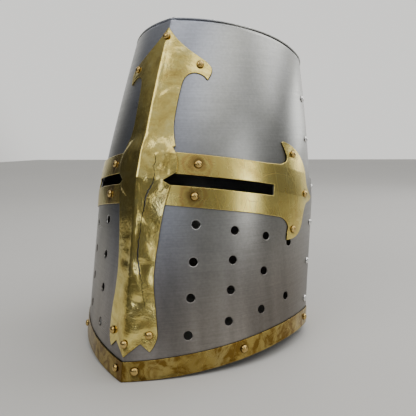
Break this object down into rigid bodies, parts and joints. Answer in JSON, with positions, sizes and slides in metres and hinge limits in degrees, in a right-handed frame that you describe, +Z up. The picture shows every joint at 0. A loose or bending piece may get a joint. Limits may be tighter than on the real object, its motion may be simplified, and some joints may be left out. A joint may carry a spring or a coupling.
{
  "type": "knight helmet",
  "caption": "Flat-topped great helm of riveted steel plates with a brass cross over the keel, eye slots, breath holes, a brass rim band, leather lining and chin strap.",
  "frame": {"origin": "centre of the bounding box at the table plane, with the helm standing on the front tip of its rim and on the back edge", "axes": "+Z up, the face looks towards -Y, +X to the wearer's left"},
  "size_m": [0.231, 0.3117, 0.3033],
  "materials": {
    "steel_plate": "satin, brushed upright",
    "hammered_brass": "polished, hammered",
    "brass_sheet": "polished with heat tint",
    "brass_rivet": "polished",
    "steel_rivet": "polished",
    "liner_leather": "matte",
    "strap_leather": "satin",
    "buckle_brass": "polished"
  },
  "bodies": {
    "helm": {"lower_front_plate": "steel_plate", "upper_front_plate": "steel_plate", "lower_back_plate": "steel_plate", "upper_back_plate": "steel_plate", "crown_plate": "steel_plate", "cross_bar": "hammered_brass", "cross_arm_left": "brass_sheet", "cross_arm_right": "brass_sheet", "rim_band_left": "brass_sheet", "rim_band_right": "brass_sheet", "bar_rivets": "brass_rivet", "arm_rivets_left": "brass_rivet", "arm_rivets_right": "brass_rivet", "rim_rivets": "brass_rivet", "seam_rivets_left": "steel_rivet", "seam_rivets_right": "steel_rivet", "waist_rivets": "steel_rivet", "crown_rivets": "steel_rivet", "brow_band": "liner_leather", "brow_rivets": "steel_rivet", "liner_tongues": "liner_leather", "liner_crown_pad": "liner_leather", "liner_washers": "steel_rivet", "strap_washers": "steel_rivet"},
    "buckle_strap": {"buckle_strap": "strap_leather", "strap_keeper": "strap_leather"},
    "tip_strap": {"tip_strap": "strap_leather"},
    "buckle_frame": {"buckle_frame": "buckle_brass"},
    "buckle_prong": {"buckle_prong": "buckle_brass"}
  },
  "joints": [
    {"name": "buckle_strap_swing", "type": "hinge", "parent": "helm", "child": "buckle_strap", "pos_m": [0.1016, 0.01844, 0.10734], "axis": [1, 0, 0], "range_deg": [-30, 0]},
    {"name": "tip_strap_swing", "type": "hinge", "parent": "helm", "child": "tip_strap", "pos_m": [-0.1016, 0.01844, 0.10734], "axis": [1, 0, 0], "range_deg": [-30, 0]},
    {"name": "buckle_frame_hinge", "type": "hinge", "parent": "buckle_strap", "child": "buckle_frame", "pos_m": [0.1028, 0.01844, 0.06334], "axis": [0, 1, 0], "range_deg": [0, 60]},
    {"name": "prong_hinge", "type": "hinge", "parent": "buckle_frame", "child": "buckle_prong", "pos_m": [0.1028, 0.01844, 0.06334], "axis": [0, 1, 0], "range_deg": [0, 60]}
  ]
}
